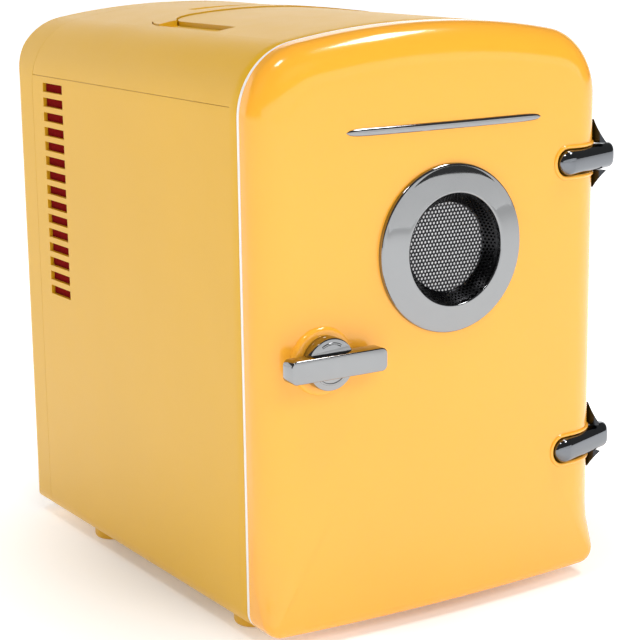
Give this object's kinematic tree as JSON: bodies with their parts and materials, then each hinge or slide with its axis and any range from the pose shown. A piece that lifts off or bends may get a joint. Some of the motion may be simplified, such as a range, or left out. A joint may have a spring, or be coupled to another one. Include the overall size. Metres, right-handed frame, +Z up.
{
  "type": "mini fridge",
  "caption": "Small arched-top thermoelectric fridge with a hinged crowned door, round speaker, quarter-turn latch, strap hinges and a fold-flat carry handle.",
  "frame": {"origin": "bottom centre of the whole object's bounding box, on the plane of the feet", "axes": "+X to the right when facing the door, +Y from the door to the back, +Z up"},
  "size_m": [0.1968, 0.2618, 0.2696],
  "materials": {
    "matte_yellow": "fine satin grain",
    "gloss_yellow": "high gloss",
    "white_plastic": "satin",
    "foam": "rigid foam",
    "clear_plastic": "clear, polished",
    "aluminium": "extruded",
    "steel": "zinc plated",
    "black_plastic": "satin",
    "red_filter": "felt",
    "circuit_board": "solder mask",
    "brass": "turned",
    "red_plastic": "gloss",
    "magnet": "sintered",
    "chrome": "mirror",
    "gasket": "soft matte",
    "black_mesh": "satin black with bare edges",
    "paper_cone": "pressed paper"
  },
  "bodies": {
    "cabinet": {"body_shell": "matte_yellow", "top_cover": "matte_yellow", "back_cover": "matte_yellow", "front_frame": "matte_yellow", "inner_liner": "white_plastic", "insulation": "foam", "shelf": "clear_plastic", "cold_plate": "aluminium", "cold_block": "aluminium", "peltier_module": "white_plastic", "heat_sink": "aluminium", "fan_frame": "black_plastic", "fan_screws": "steel", "dust_filters": "red_filter", "power_board": "circuit_board", "board_standoffs": "brass", "ac_inlet": "black_plastic", "dc_inlet": "black_plastic", "switch_housing": "black_plastic", "catch_magnet": "magnet", "hinge_bracket_upper": "chrome", "hinge_bracket_lower": "chrome", "hinge_pin_upper": "steel", "hinge_pin_lower": "steel", "bracket_screws": "steel", "handle_pins": "steel", "back_cover_screws": "steel", "feet": "matte_yellow"},
    "door": {"door_shell": "gloss_yellow", "door_liner": "white_plastic", "door_insulation": "foam", "door_gasket": "gasket", "speaker_bezel": "chrome", "speaker_grille": "black_mesh", "speaker_basket": "black_plastic", "speaker_magnet": "steel", "speaker_board": "circuit_board", "hinge_arm_upper": "chrome", "hinge_arm_lower": "chrome", "arm_screws": "steel", "latch_bush": "white_plastic", "trim_bar": "chrome", "door_screws": "steel"},
    "latch": {"latch_handle": "chrome", "latch_spindle": "steel", "latch_cam": "steel", "cam_screw": "steel"},
    "carry_handle": {"carry_handle": "matte_yellow"},
    "fan": {"fan_rotor": "black_plastic"},
    "rocker": {"mode_rocker": "red_plastic"},
    "cone": {"speaker_cone": "paper_cone"}
  },
  "joints": [
    {"name": "door_hinge", "type": "hinge", "parent": "cabinet", "child": "door", "pos_m": [0.09305, -0.1066, 0.006], "axis": [0, 0, 1], "range_deg": [0, 105]},
    {"name": "latch_turn", "type": "hinge", "parent": "door", "child": "latch", "pos_m": [-0.07075, -0.1179, 0.129], "axis": [0, 1, 0], "range_deg": [0, 90]},
    {"name": "handle_fold", "type": "hinge", "parent": "cabinet", "child": "carry_handle", "pos_m": [-0.00595, -0.0251, 0.25949], "axis": [1, 0, 0], "range_deg": [0, 95]},
    {"name": "fan_spin", "type": "hinge", "parent": "cabinet", "child": "fan", "pos_m": [-0.00595, 0.1029, 0.148], "axis": [0, 1, 0], "continuous": true},
    {"name": "rocker_tilt", "type": "hinge", "parent": "cabinet", "child": "rocker", "pos_m": [0.03205, 0.1249, 0.038], "axis": [0, 0, 1], "range_deg": [-10, 10]},
    {"name": "cone_travel", "type": "slide", "parent": "door", "child": "cone", "axis": [0, 1, 0], "range_m": [-0.001, 0.001], "stiffness_N_per_m": 600}
  ]
}
